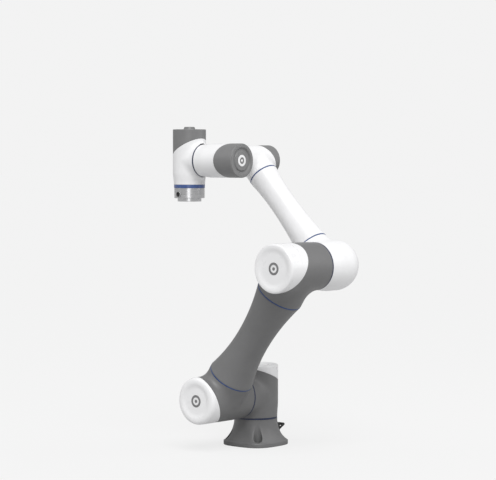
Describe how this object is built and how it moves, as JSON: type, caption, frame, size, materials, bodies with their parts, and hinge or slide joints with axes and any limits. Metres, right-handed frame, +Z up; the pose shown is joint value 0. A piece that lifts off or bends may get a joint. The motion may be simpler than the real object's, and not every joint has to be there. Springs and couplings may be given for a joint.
{
  "type": "collaborative robot arm",
  "caption": "Six-axis collaborative robot arm: flared base, dark upper arm, white forearm and wrist, covers with slanted seams, blue seals and a hanging tool flange.",
  "frame": {"origin": "centre of the base's underside, on the axis of joint 1", "axes": "+Z up along joint 1; the shoulder joint reaches towards -Y, the elbow leans towards +X and the tool hangs on the -X side"},
  "size_m": [0.465, 0.332, 0.8242],
  "materials": {
    "grey_paint": "satin dark grey powder coat on cast aluminium",
    "white_paint": "smooth white powder coat on cast aluminium",
    "grey_cover": "satin grey moulded cover",
    "white_cover": "smooth white moulded cover",
    "navy_seal": "dark navy sealing ring",
    "blue_light": "blue light diffuser",
    "flange_metal": "turned and brushed",
    "black_plastic": "fine grained black moulding",
    "gear_steel": "ground steel",
    "winding_copper": "laminated steel core with copper windings",
    "rotor_steel": "machined steel with magnets",
    "circuit_green": "printed circuit board"
  },
  "bodies": {
    "base": {"base_housing": "grey_paint", "base_connector": "black_plastic", "joint_1_output_hub": "gear_steel"},
    "connector_lever": {"connector_lever": "black_plastic"},
    "shoulder": {"shoulder_housing": "grey_paint", "shoulder_top_cover": "white_cover", "joint_1_gear_unit": "gear_steel", "joint_1_motor_stator": "winding_copper", "joint_1_drive_board": "circuit_green", "joint_1_seal": "navy_seal", "joint_2_output_hub": "gear_steel"},
    "upper_arm": {"upper_arm_lower_housing": "grey_paint", "upper_arm_upper_housing": "grey_paint", "upper_arm_tube": "grey_paint", "upper_arm_lower_trim": "navy_seal", "upper_arm_upper_trim": "navy_seal", "shoulder_side_cover": "white_cover", "elbow_cover": "white_cover", "joint_2_gear_unit": "gear_steel", "joint_2_motor_stator": "winding_copper", "joint_2_drive_board": "circuit_green", "joint_2_seal": "navy_seal", "joint_3_gear_unit": "gear_steel", "joint_3_motor_stator": "winding_copper", "joint_3_drive_board": "circuit_green", "joint_3_seal": "navy_seal"},
    "forearm": {"elbow_housing": "white_paint", "forearm_tube": "white_paint", "forearm_lower_trim": "navy_seal", "forearm_upper_trim": "navy_seal", "wrist_1_housing": "white_paint", "wrist_1_cover": "grey_cover", "joint_3_output_hub": "gear_steel", "joint_4_gear_unit": "gear_steel", "joint_4_motor_stator": "winding_copper", "joint_4_drive_board": "circuit_green", "joint_4_seal": "navy_seal"},
    "wrist_2": {"wrist_2_housing": "white_paint", "wrist_2_cover": "grey_cover", "joint_4_output_hub": "gear_steel", "joint_5_gear_unit": "gear_steel", "joint_5_motor_stator": "winding_copper", "joint_5_drive_board": "circuit_green", "joint_5_seal": "navy_seal"},
    "wrist_3": {"wrist_3_housing": "white_paint", "wrist_3_cover": "grey_cover", "joint_5_output_hub": "gear_steel", "joint_6_gear_unit": "gear_steel", "joint_6_motor_stator": "winding_copper", "joint_6_drive_board": "circuit_green", "status_light_ring": "blue_light"},
    "tool_flange": {"tool_flange_plate": "flange_metal", "flange_sleeve": "flange_metal", "tool_socket": "black_plastic"},
    "joint_1_rotor": {"joint_1_motor_rotor": "rotor_steel"},
    "joint_2_rotor": {"joint_2_motor_rotor": "rotor_steel"},
    "joint_3_rotor": {"joint_3_motor_rotor": "rotor_steel"},
    "joint_4_rotor": {"joint_4_motor_rotor": "rotor_steel"},
    "joint_5_rotor": {"joint_5_motor_rotor": "rotor_steel"},
    "joint_6_rotor": {"joint_6_motor_rotor": "rotor_steel"}
  },
  "joints": [
    {"name": "joint_1_base_turn", "type": "hinge", "parent": "base", "child": "shoulder", "pos_m": [0, 0, 0.0715], "axis": [0, 0, 1], "range_deg": [-360, 360]},
    {"name": "joint_2_shoulder_tilt", "type": "hinge", "parent": "shoulder", "child": "upper_arm", "pos_m": [0, -0.0713, 0.133], "axis": [0, 1, 0], "range_deg": [-396.6, 323.4]},
    {"name": "joint_3_elbow_bend", "type": "hinge", "parent": "upper_arm", "child": "forearm", "pos_m": [0.25459, -0.0738, 0.4758], "axis": [0, 1, 0], "range_deg": [-62, 230]},
    {"name": "joint_4_wrist_tilt", "type": "hinge", "parent": "forearm", "child": "wrist_2", "pos_m": [0.01203, -0.0936, 0.73774], "axis": [0, 1, 0], "range_deg": [-312.8, 407.2]},
    {"name": "joint_5_wrist_swivel", "type": "hinge", "parent": "wrist_2", "child": "wrist_3", "pos_m": [-0.05657, -0.141, 0.73774], "axis": [-1, 0, 0], "range_deg": [-270, 450]},
    {"name": "joint_6_flange_turn", "type": "hinge", "parent": "wrist_3", "child": "tool_flange", "pos_m": [-0.10397, -0.141, 0.67185], "axis": [0, 0, -1], "range_deg": [-360, 360]},
    {"name": "joint_1_rotor_spin", "type": "hinge", "parent": "shoulder", "child": "joint_1_rotor", "pos_m": [0, 0, 0.0715], "axis": [0, 0, 1], "continuous": true},
    {"name": "joint_2_rotor_spin", "type": "hinge", "parent": "upper_arm", "child": "joint_2_rotor", "pos_m": [0, -0.0713, 0.133], "axis": [0, 1, 0], "continuous": true},
    {"name": "joint_3_rotor_spin", "type": "hinge", "parent": "upper_arm", "child": "joint_3_rotor", "pos_m": [0.25459, -0.0738, 0.4758], "axis": [0, 1, 0], "continuous": true},
    {"name": "joint_4_rotor_spin", "type": "hinge", "parent": "forearm", "child": "joint_4_rotor", "pos_m": [0.01203, -0.0936, 0.73774], "axis": [0, 1, 0], "continuous": true},
    {"name": "joint_5_rotor_spin", "type": "hinge", "parent": "wrist_2", "child": "joint_5_rotor", "pos_m": [-0.05657, -0.141, 0.73774], "axis": [-1, 0, 0], "continuous": true},
    {"name": "joint_6_rotor_spin", "type": "hinge", "parent": "wrist_3", "child": "joint_6_rotor", "pos_m": [-0.10397, -0.141, 0.67185], "axis": [0, 0, -1], "continuous": true},
    {"name": "connector_lever_swing", "type": "hinge", "parent": "base", "child": "connector_lever", "pos_m": [0, 0.073, 0.033], "axis": [1, 0, 0], "range_deg": [-78, 0]}
  ],
  "couplings": [
    {"joint": "joint_1_rotor_spin", "follows": "joint_1_base_turn", "ratio": 100},
    {"joint": "joint_2_rotor_spin", "follows": "joint_2_shoulder_tilt", "ratio": 100},
    {"joint": "joint_3_rotor_spin", "follows": "joint_3_elbow_bend", "ratio": -100},
    {"joint": "joint_4_rotor_spin", "follows": "joint_4_wrist_tilt", "ratio": -100},
    {"joint": "joint_5_rotor_spin", "follows": "joint_5_wrist_swivel", "ratio": -100},
    {"joint": "joint_6_rotor_spin", "follows": "joint_6_flange_turn", "ratio": -100}
  ]
}
